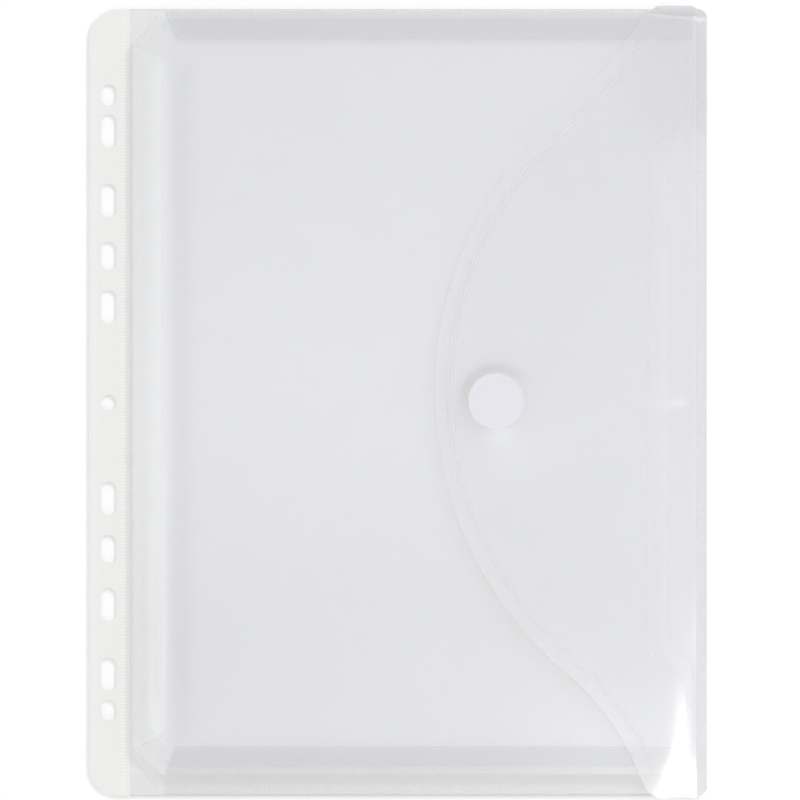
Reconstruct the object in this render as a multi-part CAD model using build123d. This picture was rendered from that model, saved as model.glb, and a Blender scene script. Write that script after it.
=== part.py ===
"""Punched document wallet for A4 sheets: a clear film pocket with a folding gusset, a flap that closes
on a hook-and-loop dot, and a white punched strip for ring binders.

Millimetres. The wallet lies on its back at z = 0, X runs from the strip to the flap fold, Y runs up the
sheet and Z points at the viewer. The origin is the middle of the footprint.
"""
import os
from math import asin, atan2, degrees, hypot

from build123d import *

# Film and outline
FILM = 0.3
WIDTH = 241.0
BODY_HEIGHT = 307.0
SEAT = 0.05

# Punched binding strip
STRIP_WIDTH = 16.0
STRIP_LAP = 4.4
STRIP_CORNER = 11.5
LAP_GAP = 0.1
HOLE_WIDTH = 6.0
HOLE_INSET = 7.7
SLOTS = ((37.4, 13.0), (57.2, 11.0), (78.8, 13.0), (106.0, 13.0), (120.0, 8.2))

# Pocket and its gusset
POCKET_DEPTH = 5.5
POCKET_LEFT = 1.2
POCKET_TOP = 1.1
POCKET_BOTTOM = 8.5
CORNER_RUN = 12.0
CORNER_RISE_TOP = 13.0
CORNER_RISE_BOTTOM = 10.0
LEAF_WIDTH = 11.0
LEAF_TRIM = 0.3
MOUTH_INSET = 1.2
FLANGE_WIDTH = 3.0
FLANGE_MARGIN = 0.8
FRONT_WELD_GAP = 0.45

# Finger cut in the mouth of the front panel
CUT_DEPTH = 10.0
CUT_TOP = 111.0
CUT_BOTTOM = -107.0
CUT_CORNER = 4.0

# Hook-and-loop dots
DOT_X = 38.2
DOT_Y = 0.6
DOT_DIAMETER = 22.0
DOT_THICKNESS = 0.9
DOT_ROUNDING = 0.25
ADHESIVE = 0.1
ADHESIVE_INSET = 0.4
DOT_GAP = 0.1

# Flap
FLAP_REACH = 106.0
FLAP_ARC = 144.0
FLAP_SHIFT = 4.6
FLAP_ARC_TOP = 48.0
FLAP_ARC_BOTTOM = 50.0
EAR_HEIGHT = 1.5
EAR_LENGTH = 29.5
EAR_NECK = 7.0
EAR_LEAD = 8.5
EAR_TAIL = 5.0
FOLD_CORNER = 4.0

# Raised border lines pressed into the film
BEAD_HEIGHT = 0.12
BEAD_WIDTH = 0.8
FLAP_BEAD_INSET = 5.0
MOUTH_BEAD_INSET = 6.6
MOUTH_BEAD_TOP = 136.0
MOUTH_BEAD_BOTTOM = -131.0

# Levels through the closed wallet
flange_top = 2 * FILM
front_z = FILM + POCKET_DEPTH
front_top = front_z + FILM
loop_z = front_top + ADHESIVE
hook_z = loop_z + DOT_THICKNESS + DOT_GAP
flap_z = hook_z + DOT_THICKNESS + ADHESIVE
flap_top = flap_z + FILM

# Places across the footprint
left_x = -WIDTH / 2
strip_right = left_x + STRIP_WIDTH
lap_x = strip_right - STRIP_LAP
hole_x = left_x + HOLE_INSET
fold_radius = flap_top / 2
fold_x = WIDTH / 2 - fold_radius
half_body = BODY_HEIGHT / 2
ear_y = half_body + EAR_HEIGHT
mouth_x = fold_x - MOUTH_INSET
pocket_left = strip_right + POCKET_LEFT
pocket_top = half_body - POCKET_TOP
pocket_bottom = POCKET_BOTTOM - half_body
pocket_outline = (
    (mouth_x, pocket_top),
    (pocket_left + CORNER_RUN, pocket_top),
    (pocket_left, pocket_top - CORNER_RISE_TOP),
    (pocket_left, pocket_bottom + CORNER_RISE_BOTTOM),
    (pocket_left + CORNER_RUN, pocket_bottom),
    (mouth_x, pocket_bottom),
)
GUSSET_SIDES = ("top", "top_corner", "left", "bottom_corner", "bottom")

# Each gusset leaf leans at the angle that brings the folded pair up to the front panel
leaf_z = flange_top + SEAT
leaf_stack = front_z - FILM - FRONT_WELD_GAP - leaf_z
leaf_span = hypot(2 * LEAF_WIDTH, 2 * FILM)
leaf_lean = degrees(asin(leaf_stack / leaf_span) - atan2(FILM, LEAF_WIDTH))


def sheet(outline, z):
    """A flat sheet of film over a closed outline."""
    return Pos(0, 0, z) * extrude(make_face(outline), FILM)


def polygon(points):
    """A closed straight-sided outline."""
    return Polyline(*points, close=True)


def strip_holes():
    """The punched row: a round hole in the middle and pairs of slots above and below it."""
    holes = [Pos(hole_x, 0) * Circle(HOLE_WIDTH / 2)]
    for offset, length in SLOTS:
        slot = SlotOverall(length, HOLE_WIDTH, rotation=90)
        holes += [Pos(hole_x, offset) * slot, Pos(hole_x, -offset) * slot]
    return holes


def binding_strip():
    """White film folded double, whose upper layer laps over the edge of the back panel."""
    plan = Pos((left_x + strip_right) / 2, 0) * Rectangle(STRIP_WIDTH, BODY_HEIGHT)
    plan = fillet(plan.vertices().group_by(Axis.X)[0], STRIP_CORNER)
    plan = plan - strip_holes()
    doubled = Pos((left_x + lap_x) / 2, 0) * Rectangle(lap_x - left_x, BODY_HEIGHT)
    return extrude(plan & doubled, FILM) + Pos(0, 0, FILM) * extrude(plan, FILM)


def back_panel():
    """The rear sheet, from the strip's lap to the fold."""
    start = lap_x + LAP_GAP
    plan = Pos((start + fold_x) / 2, 0) * Rectangle(fold_x - start, BODY_HEIGHT)
    return extrude(plan, FILM)


def inset_line(distance):
    """The pocket outline moved inwards, with its mouth ends left where they are."""
    corners = [Vector(*point) for point in pocket_outline]
    ways = [(b - a).normalized() for a, b in zip(corners, corners[1:])]
    inward = [Vector(-way.Y, way.X) for way in ways]
    moved = [corners[0] + inward[0] * distance]
    for corner, before, after in zip(corners[1:-1], inward, inward[1:]):
        half_turn = (before + after).normalized()
        moved.append(corner + half_turn * (distance / half_turn.dot(after)))
    moved.append(corners[-1] + inward[-1] * distance)
    return [(point.X, point.Y) for point in moved]


def gusset_rear_flange():
    """The welded foot of the gusset strip, a band round three sides of the back panel."""
    edge = half_body - FLANGE_MARGIN
    foot_left = strip_right + LAP_GAP
    spread = pocket_left - foot_left
    outer = (
        (mouth_x, edge),
        (pocket_left + CORNER_RUN - spread, edge),
        (foot_left, pocket_top - CORNER_RISE_TOP + spread),
        (foot_left, pocket_bottom + CORNER_RISE_BOTTOM - spread),
        (pocket_left + CORNER_RUN - spread, -edge),
        (mouth_x, -edge),
    )
    band = polygon(outer + tuple(reversed(inset_line(FLANGE_WIDTH))))
    return sheet(band, FILM)


def gusset_front_flange():
    """The welded edge of the gusset strip, under the rim of the front panel."""
    band = polygon(pocket_outline + tuple(reversed(inset_line(FLANGE_WIDTH))))
    return sheet(band, front_z - FILM)


def leaf_outline(side, outward):
    """A leaf's flat outline: full length at its weld, mitred towards the crease where it turns a corner."""
    crease = inset_line(LEAF_WIDTH)
    start, end = (Vector(*pocket_outline[side + k]) for k in (0, 1))
    way = (end - start).normalized()
    near, far = ((Vector(*crease[side + k]) - start).dot(way) for k in (0, 1))
    length = (end - start).length
    weld, fold = (-LEAF_WIDTH, 0) if outward else (0, LEAF_WIDTH)
    return polygon(
        (
            (LEAF_TRIM, weld),
            (length - LEAF_TRIM, weld),
            (far - LEAF_TRIM, fold),
            (near + LEAF_TRIM, fold),
        )
    )


def gusset_leaves(side):
    """The rear and front leaves of one side. Each swings about the face that its fold closes on: the
    rear leaf on its underside at the weld, the front leaf on its underside at the crease."""
    start, end = (Vector(*pocket_outline[side + k], leaf_z) for k in (0, 1))
    weld = Plane(start, x_dir=end - start, z_dir=(0, 0, 1)).location
    rear = weld * Rot(leaf_lean, 0, 0)
    front = rear * Pos(0, LEAF_WIDTH, FILM) * Rot(-2 * leaf_lean, 0, 0)
    return (
        rear * extrude(make_face(leaf_outline(side, outward=False)), FILM),
        front * extrude(make_face(leaf_outline(side, outward=True)), FILM),
    )


def front_plan():
    """The front sheet's outline, with cut corners and a sloped finger cut in its mouth."""
    cut_x = mouth_x - CUT_DEPTH
    points = pocket_outline + (
        (mouth_x, CUT_BOTTOM),
        (cut_x, CUT_BOTTOM + CUT_DEPTH),
        (cut_x, CUT_TOP - CUT_DEPTH),
        (mouth_x, CUT_TOP),
    )
    plan = make_face(polygon(points))
    cut_corners = [v for v in plan.vertices() if CUT_BOTTOM <= v.Y <= CUT_TOP and v.X > 0]
    return fillet(cut_corners, CUT_CORNER)


def bead(plan, inset, z):
    """A low raised line that follows an outline at a given inset."""
    band = offset(plan, -inset) - offset(plan, -inset - BEAD_WIDTH)
    return Pos(0, 0, z) * extrude(band, BEAD_HEIGHT)


def front_panel():
    """The front sheet of the pocket with the pressed line beside its mouth."""
    plan = front_plan()
    height = MOUTH_BEAD_TOP - MOUTH_BEAD_BOTTOM
    reach = 2 * (CUT_DEPTH + MOUTH_BEAD_INSET + BEAD_WIDTH)
    window = Pos(mouth_x, (MOUTH_BEAD_TOP + MOUTH_BEAD_BOTTOM) / 2) * Rectangle(reach, height)
    line = bead(plan, MOUTH_BEAD_INSET, front_top) & extrude(window, flap_top)
    return Pos(0, 0, front_z) * extrude(plan, FILM) + line


def flap_plan(root_x):
    """The flap's outline: a wide arc that sweeps out through a reverse curve into an ear at each end."""
    centre = Vector(WIDTH / 2 - FLAP_REACH + FLAP_ARC, FLAP_SHIFT)
    main = CenterArc(centre, FLAP_ARC, 180 - FLAP_ARC_TOP, FLAP_ARC_TOP + FLAP_ARC_BOTTOM)
    ear_x = WIDTH / 2 - EAR_LENGTH
    edges = [main]
    for along, sign in ((0, 1), (1, -1)):
        neck = (ear_x, sign * (ear_y - EAR_NECK))
        lead = (ear_x + EAR_LEAD, sign * ear_y)
        tail = (fold_x - EAR_TAIL, sign * ear_y)
        heading = (main % along) * (-sign)
        reverse = TangentArc(main @ along, neck, tangent=heading)
        ear = TangentArc(neck, lead, tangent=reverse % 1)
        root = (fold_x, sign * half_body)
        shoulder = TangentArc(tail, root, tangent=(1, 0))
        edges += [reverse, ear, Line(lead, tail), shoulder]
        if root_x > fold_x:
            edges.append(Line(root, (root_x, sign * half_body)))
    edges.append(Line((root_x, half_body), (root_x, -half_body)))
    return make_face(edges)


def flap_panel():
    """The flap, flat when closed, with a pressed line inside its free edge."""
    open_plan = flap_plan(fold_x + 2 * FLAP_BEAD_INSET)
    trim = Pos(fold_x - FLAP_REACH, 0) * Rectangle(2 * (FLAP_REACH - FLAP_BEAD_INSET), 2 * ear_y)
    line = bead(open_plan, FLAP_BEAD_INSET, flap_top) & extrude(trim, 2 * flap_top)
    return Pos(0, 0, flap_z) * extrude(flap_plan(fold_x), FILM) + line


def flap_fold():
    """The rounded bend that carries the flap over the mouth, with its two outer corners rounded off."""
    ring = Circle(fold_radius) - Circle(fold_radius - FILM)
    half = ring & Pos(fold_radius / 2, 0) * Rectangle(fold_radius, 2 * fold_radius)
    across = Plane((fold_x, half_body, fold_radius), x_dir=(1, 0, 0), z_dir=(0, -1, 0))
    bend = extrude(across * half, BODY_HEIGHT)
    plan = Pos(fold_x, 0) * Rectangle(2 * fold_radius, BODY_HEIGHT)
    plan = fillet(plan.vertices().group_by(Axis.X)[-1], FOLD_CORNER)
    return bend & extrude(plan, flap_top)


def dot(z, radius, thickness, rounding):
    """A disc of tape or adhesive on the closure's centre line."""
    disc = Pos(DOT_X, DOT_Y, z) * extrude(Circle(radius), thickness)
    return fillet(disc.edges().filter_by(GeomType.CIRCLE), rounding) if rounding else disc


def build():
    """All the wallet's solids by name."""
    radius = DOT_DIAMETER / 2
    solids = {
        "back_panel": back_panel(),
        "binding_strip": binding_strip(),
        "gusset_rear_flange": gusset_rear_flange(),
        "gusset_front_flange": gusset_front_flange(),
        "front_panel": front_panel(),
        "loop_dot_adhesive": dot(front_top, radius - ADHESIVE_INSET, ADHESIVE, 0),
        "loop_dot": dot(loop_z, radius, DOT_THICKNESS, DOT_ROUNDING),
        "hook_dot": dot(hook_z, radius, DOT_THICKNESS, DOT_ROUNDING),
        "hook_dot_adhesive": dot(flap_z - ADHESIVE, radius - ADHESIVE_INSET, ADHESIVE, 0),
        "flap_panel": flap_panel(),
        "flap_fold": flap_fold(),
    }
    for side, name in enumerate(GUSSET_SIDES):
        solids[f"{name}_rear_leaf"], solids[f"{name}_front_leaf"] = gusset_leaves(side)
    return solids


os.makedirs("parts", exist_ok=True)
for node, solid in build().items():
    export_step(solid, f"parts/{node}.step")
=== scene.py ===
"""Looks for a punched document wallet of clear film: a gusseted pocket, a curved flap on a rounded fold, a
hook-and-loop dot and a white punched strip. Lengths in the shape functions are millimetres."""
import math

import bpy
import numpy as np
from bpy.props import FloatProperty, FloatVectorProperty, IntProperty, PointerProperty
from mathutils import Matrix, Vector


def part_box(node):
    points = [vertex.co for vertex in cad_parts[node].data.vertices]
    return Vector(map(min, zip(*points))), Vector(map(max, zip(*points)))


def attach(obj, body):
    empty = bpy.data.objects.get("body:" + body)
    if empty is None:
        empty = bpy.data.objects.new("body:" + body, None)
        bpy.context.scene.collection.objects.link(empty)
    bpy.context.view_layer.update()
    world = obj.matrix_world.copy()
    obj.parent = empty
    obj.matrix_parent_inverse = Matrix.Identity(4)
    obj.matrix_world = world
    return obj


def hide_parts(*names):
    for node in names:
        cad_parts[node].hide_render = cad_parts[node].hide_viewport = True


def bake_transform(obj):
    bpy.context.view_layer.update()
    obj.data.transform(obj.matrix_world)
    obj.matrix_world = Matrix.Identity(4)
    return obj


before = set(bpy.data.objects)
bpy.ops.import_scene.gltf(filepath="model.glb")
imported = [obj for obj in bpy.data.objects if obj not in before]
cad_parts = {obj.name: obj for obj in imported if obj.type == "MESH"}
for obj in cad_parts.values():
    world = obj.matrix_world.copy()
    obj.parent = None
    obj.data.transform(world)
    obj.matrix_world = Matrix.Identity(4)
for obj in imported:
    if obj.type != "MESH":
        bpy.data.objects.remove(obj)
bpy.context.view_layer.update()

bl_info = {
    "name": "Punched document wallet",
    "version": (1, 0, 0),
    "blender": (4, 5, 0),
    "location": "View3D > Sidebar > Wallet",
    "description": "Dresses the wallet's solids in clear film, white strip and hook-and-loop tape",
    "category": "Object",
}

MM = 0.001


def corners_mm(node):
    """Lowest and highest corner of a solid, in millimetres."""
    return [np.array(corner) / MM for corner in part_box(node)]


FRONT_LOW, FRONT_HIGH = corners_mm("front_panel")
FLAP_LOW, FLAP_HIGH = corners_mm("flap_panel")
BACK_LOW, BACK_HIGH = corners_mm("back_panel")
HOOK_LOW, HOOK_HIGH = corners_mm("hook_dot")
LOOP_LOW, LOOP_HIGH = corners_mm("loop_dot")
STRIP_TOP = corners_mm("binding_strip")[1][2]
FOLD_OUTSIDE = corners_mm("flap_fold")[1][0]

# Middle levels of the films, each a hair off its solid's so that no two faces lie in one plane
HAIR = 0.03
FILM = BACK_HIGH[2] - BACK_LOW[2]
FRONT_MID = FRONT_LOW[2] + FILM / 2 + HAIR
FLAP_MID = FLAP_LOW[2] + FILM / 2 + HAIR
BACK_MID = BACK_LOW[2] + FILM / 2 - HAIR

FOLD_X = FLAP_HIGH[0]
HALF_BODY = BACK_HIGH[1]
EAR_Y = FLAP_HIGH[1]
DOT = (HOOK_LOW + HOOK_HIGH) / 2
DOT_RADIUS = (HOOK_HIGH[0] - HOOK_LOW[0]) / 2

# Width of the darker line along a cut edge of film, and the name of the film's tone scale, which holds
# painted light and shade
EDGE_LINE, PAINTED_SHADING = 0.4, "haze"

# Materials of a film by number, and the places of two sides in its rim, which starts along the first row
FILM_FINISH, EDGE_FINISH, CLEAR_FINISH = range(3)
LAST_COLUMN, FIRST_COLUMN = 1, 3


def smooth(low, high, value):
    """Smoothstep: 0 below low, 1 above high, and 3t^2 - 2t^3 of the share t between them."""
    t = np.clip((value - low) / (high - low), 0, 1)
    return t * t * (3 - 2 * t)


def bell(value, amount, centre, width):
    """Bell curve: the amount times e to minus the square of the distance from the centre over the width."""
    return amount * np.exp(-(((value - centre) / width) ** 2))


def patch(amount, across, along, x, y):
    """An amount that comes in over a stretch across and a stretch along the sheet."""
    return amount * smooth(*across, x) * smooth(*along, y)


def make_piece(name, points, faces, flat=()):
    """A mesh object from points in millimetres and lists of faces; faces numbered in flat stay unsmoothed."""
    mesh = bpy.data.meshes.new(name)
    mesh.from_pydata((points * MM).tolist(), [], faces)
    shading = np.ones(len(faces), bool)
    shading[list(flat)] = False
    mesh.polygons.foreach_set("use_smooth", shading)
    mesh.update()
    if mesh.validate():
        raise RuntimeError(f"{name} has broken faces")
    piece = bpy.data.objects.new(name, mesh)
    bpy.context.scene.collection.objects.link(piece)
    return piece


def places(*stretches):
    """Sorted places, evenly spaced over each stretch, which gives its two ends and their number."""
    return np.unique(np.concatenate([np.linspace(*stretch) for stretch in stretches]))


def film_piece(name, x, y, z, haze, dark=False, joined=()):
    """Closed film: the middle surface moved half the film's thickness to either side along its normals
    (the cross product of its two directions), with a wall round the rim. The walls take the cut edge's
    finish, and so do the cells that start at a dark point. Where the film goes on in another piece, on
    the joined sides, the walls are clear and their edges sharp, so that they don't tilt the film's
    shading. A tone scale of painted light and shade is stored at the points and scales the film's tone."""
    middle = np.stack(np.broadcast_arrays(x, y, z), axis=2)
    rows, columns = middle.shape[:2]
    normal = np.cross(np.gradient(middle, axis=1), np.gradient(middle, axis=0))
    normal /= np.linalg.norm(normal, axis=2, keepdims=True)
    half = normal * FILM / 2
    points = np.concatenate([(middle + half).reshape(-1, 3), (middle - half).reshape(-1, 3)])
    count = rows * columns
    number = np.arange(count).reshape(rows, columns)
    corners = [number[:-1, :-1], number[1:, :-1], number[1:, 1:], number[:-1, 1:]]
    quads = np.stack(corners, axis=2).reshape(-1, 4)
    sides = [number[0, :-1], number[:-1, -1], number[-1, :0:-1], number[:0:-1, 0]]
    rim = np.concatenate(sides)
    following = np.roll(rim, -1)
    wall = np.stack([following, rim, rim + count, following + count], axis=1)
    faces = np.concatenate([quads[:, ::-1], quads + count, wall])
    piece = make_piece(name, points, faces.tolist(), range(2 * len(quads), len(faces)))
    cells = np.where(np.broadcast_to(dark, (rows, columns)), EDGE_FINISH, FILM_FINISH)[:-1, :-1].ravel()
    kinds = [CLEAR_FINISH if place in joined else EDGE_FINISH for place in range(len(sides))]
    finishes = np.concatenate([cells, cells, np.repeat(kinds, [len(side) for side in sides])])
    mesh = piece.data
    mesh.polygons.foreach_set("material_index", finishes)
    edges = np.zeros(len(mesh.loops), np.int32)
    mesh.loops.foreach_get("edge_index", edges)
    sharp = np.zeros(len(mesh.edges), bool)
    sharp[edges.reshape(-1, 4)[finishes == CLEAR_FINISH]] = True
    mesh.edges.foreach_set("use_edge_sharp", sharp)
    # Tone scale of painted light and shade, stored on both faces' points
    haze = np.broadcast_to(haze, (rows, columns)).ravel()
    mesh.attributes.new(PAINTED_SHADING, "FLOAT", "POINT").data.foreach_set("value", np.concatenate([haze, haze]))
    return piece


def tubes(paths, wide, high, sides, up=(0, 0, 1)):
    """Tubes along many paths at once: each ring is the path's point plus wide times the cosine of the
    turn across the path plus high times its sine along the path's own upward direction. Returns points
    and faces."""
    along = np.gradient(paths, axis=1)
    along /= np.linalg.norm(along, axis=2, keepdims=True)
    across = np.cross(along, np.array(up, float))
    across /= np.linalg.norm(across, axis=2, keepdims=True)
    rise = np.cross(across, along)
    turn = np.linspace(0, 2 * math.pi, sides, endpoint=False)
    rings = (
        paths[:, :, None]
        + wide * np.cos(turn)[:, None] * across[:, :, None]
        + high * np.sin(turn)[:, None] * rise[:, :, None]
    )
    count, length = paths.shape[:2]
    number = np.arange(count * length * sides).reshape(count, length, sides)
    turned = np.roll(number, -1, axis=2)
    walls = np.stack([number[:, :-1], number[:, 1:], turned[:, 1:], turned[:, :-1]], axis=-1).reshape(-1, 4)
    starts, ends = number[:, 0], number[:, -1, ::-1]
    return rings.reshape(-1, 3), walls.tolist() + starts.tolist() + ends.tolist()


def bars(centres, base, top, height):
    """Low ridges: for each centre a base rectangle and a smaller top rectangle that stands height above
    it. The sizes of the rectangles are given once, or for each centre."""
    signs = np.array([(-1, -1, 0), (1, -1, 0), (1, 1, 0), (-1, 1, 0)]) / 2
    sizes = [np.pad(np.broadcast_to(size, (len(centres), 2)), ((0, 0), (0, 1))) for size in (base, top)]
    foot, crown = (centres[:, None] + signs * size[:, None] for size in sizes)
    points = np.concatenate([foot, crown + (0, 0, height)], axis=1).reshape(-1, 3)
    shape = np.array([(4, 5, 6, 7), (0, 1, 5, 4), (1, 2, 6, 5), (2, 3, 7, 6), (3, 0, 4, 7), (3, 2, 1, 0)])
    faces = (shape[None] + 8 * np.arange(len(centres))[:, None, None]).reshape(-1, 4)
    return points, faces.tolist()


# Front film of the pocket

# Outline: cut corners, finger cut, and the turns of the pressed line beside it
CORNER_RUN, CORNER_RISE_TOP, CORNER_RISE_BOTTOM = 12.0, 13.0, 10.0
CUT_DEPTH, CUT_TOP, CUT_BOTTOM = 9.5, 105.5, -104.0
MOUTH_LINE = (
    (112.6, 135.6), (112.6, 113.2), (98.4, 98.3), (96.4, -96.0), (112.5, -110.6), (112.5, -131.0),
)

# Relief: height of the dome; amount, place from the strip side and width of the groove and of the ridge
DOME, GROOVE, RIDGE = 0.55, (-1.0, 13.2, 4.2), (0.25, 6.6, 2.6)

# Stretches, inwards from the edges in the name, over which the level rim ends and each form comes in
RIM_ENDS, RIM_SIDE = (0, 9), (0, 6)
DOME_SIDE, DOME_ENDS, DOME_MOUTH = (14, 60), (14, 70), (8, 60)
GROOVE_TOP, GROOVE_BOTTOM, RIDGE_ENDS = (10, 40), (8, 36), (8, 30)

# Tone, painted light and shade: amount, place and width of a painted lit band over the crease, a band of
# painted shade in the groove and a thin painted highlight, and of bands along; where the ones across end,
# and a painted glow towards the corner highlight
PAINTED_CREASE_LIGHT, PAINTED_GROOVE_SHADE, PAINTED_CREASE_HIGHLIGHT = (0.12, 10.5, 5), (-0.12, 19, 4.5), (0.1, 11.9, 0.8)
MIDDLE_BAND, LOW_BAND = (0.05, 5, 70), (-0.05, -95, 45)
BANDS_TOP, BANDS_BOTTOM, LINE_START = (16, 24), (8, 18), (0, -60)
PAINTED_CORNER_GLOW = (0.14, (30, 90), (-100, -140))

# Grid: rows over the sheet, each cut corner and each slant, and columns with their steps at the edges
FRONT_ROWS, FRONT_COLUMNS = 150, 90
BOTTOM_CORNER_ROWS, TOP_CORNER_ROWS, SLANT_ROWS = 16, 18, 10
SIDE_STEPS = np.concatenate([[0, EDGE_LINE], np.arange(1, 25, 0.75)])
MOUTH_STEPS = np.concatenate([[0, EDGE_LINE], np.arange(1, 12, 1.0)])


def front_left(y):
    """Binding-side edge: straight, and stepping in along a slant at each cut corner."""
    top = np.clip(1 - (FRONT_HIGH[1] - y) / CORNER_RISE_TOP, 0, 1)
    bottom = np.clip(1 - (y - FRONT_LOW[1]) / CORNER_RISE_BOTTOM, 0, 1)
    return FRONT_LOW[0] + CORNER_RUN * (top + bottom)


def front_right(y):
    """Mouth edge: straight, and stepping in along a slant at each end of the finger cut."""
    inside = np.clip(np.minimum(CUT_TOP - y, y - CUT_BOTTOM) / CUT_DEPTH, 0, 1)
    return FRONT_HIGH[0] - CUT_DEPTH * inside


def front_height(x, y):
    """Height of the front film's middle: a low dome, a soft ridge over the binding-side crease with a
    groove inside it, and level rims where it is welded."""
    from_left, from_mouth = x - FRONT_LOW[0], FRONT_HIGH[0] - x
    from_top, from_bottom = FRONT_HIGH[1] - y, y - FRONT_LOW[1]
    from_end = np.minimum(from_top, from_bottom)
    inside = smooth(*RIM_ENDS, from_end) * smooth(*RIM_SIDE, from_left)
    dome = patch(DOME, DOME_SIDE, DOME_ENDS, from_left, from_end) * smooth(*DOME_MOUTH, from_mouth)
    groove = bell(from_left, *GROOVE) * smooth(*GROOVE_TOP, from_top) * smooth(*GROOVE_BOTTOM, from_bottom)
    ridge = bell(from_left, *RIDGE) * smooth(*RIDGE_ENDS, from_end)
    return FRONT_MID + inside * (dome + groove + ridge)


def front_painted_shading(x, y):
    """Tone scale of the front film, painted light and shade: a painted lit band over the binding-side crease
    with a fine painted highlight along its lower half, painted shade in the groove inside it, and a painted
    glow towards the pulled corner, where the highlight lies. Along the sheet it is a little whiter at the
    middle and duller low down."""
    from_left = x - FRONT_LOW[0]
    beside_crease = smooth(*BANDS_TOP, FRONT_HIGH[1] - y) * smooth(*BANDS_BOTTOM, y - FRONT_LOW[1])
    # Painted light over the crease and painted shade in the groove
    bands = bell(from_left, *PAINTED_CREASE_LIGHT) + bell(from_left, *PAINTED_GROOVE_SHADE)
    # Painted highlight along the crease's lower half
    line = bell(from_left, *PAINTED_CREASE_HIGHLIGHT) * smooth(*LINE_START, y)
    drift = bell(y, *MIDDLE_BAND) + bell(y, *LOW_BAND)
    # The corner patch is a painted glow of the corner highlight
    return 1 + drift + beside_crease * (bands + line) + patch(*PAINTED_CORNER_GLOW, x, y)


def front_film():
    """Grid over the front outline: rows across the sheet, and in each row fixed steps from both edges
    with even steps between them."""
    low, high = FRONT_LOW[1], FRONT_HIGH[1]
    y = places(
        (low, high, FRONT_ROWS),
        (low + EDGE_LINE, high - EDGE_LINE, 2),
        (low, low + CORNER_RISE_BOTTOM, BOTTOM_CORNER_ROWS),
        (high - CORNER_RISE_TOP, high, TOP_CORNER_ROWS),
        (CUT_TOP - CUT_DEPTH, CUT_TOP, SLANT_ROWS),
        (CUT_BOTTOM, CUT_BOTTOM + CUT_DEPTH, SLANT_ROWS),
    )[:, None]
    left, right = front_left(y), front_right(y)
    inner, outer = left + SIDE_STEPS[-1], right - MOUTH_STEPS[-1]
    between = np.linspace(0, 1, FRONT_COLUMNS)[1:-1]
    middle = inner + between * (outer - inner)
    x = np.concatenate([left + SIDE_STEPS, middle, right - MOUTH_STEPS[::-1]], axis=1)
    return film_piece("front_film", x, y, front_height(x, y), front_painted_shading(x, y))


# Flap and its fold

# Outline: radius of the wide arc, height of its centre and its ends in degrees from its tip; fold's corner
FLAP_ARC, FLAP_SHIFT, FLAP_ARC_TOP, FLAP_ARC_BOTTOM = 144.0, 4.6, 48.0, 50.0
FOLD_CORNER = 4.0

# Ears: outermost height, the neck's place across and distance from that height, and the lengths of the
# curves that lead into the ear and out of it at the fold
LOWER_EAR = (-EAR_Y + 0.9, 95.4, 5.8, 10.0, 1.5)
UPPER_EAR = (EAR_Y - 0.4, 94.0, 6.6, 7.2, 2.25)

# Droop of the root: depth at each end, and how far from the middle it starts
LOWER_DROOP, UPPER_DROOP = (1.95, 104), (0.9, 108)

# Pulled lower corner: depth, width and where it comes in; power of its curve, how far and where that eases
PINCH, PINCH_REACH, PINCH_START = 0.62, 14.0, (-70, -118)
PINCH_POWER, PINCH_EASE, PINCH_EASE_START = 3, 1.4, (-131, -147)

# Sag: depth, shares of the way from fold to free edge over which it comes in, least length of that way;
# how far inside the dot's rim it starts, how far out it is full and how much farther on the lit side
SAG, SAG_SHARES, SAG_WIDTH = 1.15, (0.1, 0.95), 25
SAG_INSIDE_DOT, SAG_REACH, SAG_LIT_REACH = 3, 30, 12

# Shares of that way over which the root's level comes in
ROOT_SHARES = (0.9, 0.0)

# Dent beside the fold: amount, place and width along it, and where it comes in across and in those shares
DENT, DENT_X, DENT_SHARES = (0.25, -2.5, 3.4), (90, 112), (0, 0.04)

# Darker upper ear: height of its lower limit at a place across, and its fall towards the fold
EAR_SHADE, EAR_SHADE_X, EAR_SHADE_FALL = 152.4, 91, 0.086

# Painted shadow of the dot: amount, distance from the rim and width of its crescent, the way it faces and
# where it ends; painted glow of the lamp's reflection below the dot: amount, middle and width, its place
# from the dot and where it ends at the rim
DOT_SHADOW, DOT_SHADOW_WAY, DOT_SHADOW_ROUND = (-0.28, 1.9, 1.9), (-0.43, 0.9), (-0.2, 0.9)
GLOW, GLOW_PLACE, GLOW_RIM = (0.26, 0, 5.5), (1.5, -12.5), (-0.8, 0.4)

# Tone of two corners, the lower a painted glow of the corner highlight and the upper darker, and amount,
# distance and width of the line under the ear and where it comes in
LOWER_PAINTED_GLOW, UPPER_TONE = (0.06, (60, 105), (-80, -130)), (-0.1, (80, 105), (95, 115))
UNDER_EAR, UNDER_EAR_X = (0.3, -0.9, 0.5), (97, 103)

ARC_POINTS, REVERSE_POINTS, EAR_POINTS = 160, 50, 24

# Grid of the flap: rows over it, each ear's span and the dot's span, columns, steps from the free edge,
# and the width below which those steps shrink
FLAP_ROWS, EAR_SPAN, UPPER_EAR_ROWS, LOWER_EAR_ROWS = 190, 12, 50, 30
DOT_SPAN, DOT_ROWS = 20, 50
FLAP_COLUMNS, STEPS_WIDTH = 95, 12
FLAP_STEPS = np.concatenate([[0, EDGE_LINE, 0.9], np.linspace(1.4, 8, 9)])

# Grid of the fold: rows along it and in the share of its half length at each end, and columns round it
FOLD_ROWS, FOLD_END_ROWS, FOLD_END, FOLD_COLUMNS = 110, 14, 0.026, 33


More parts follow.
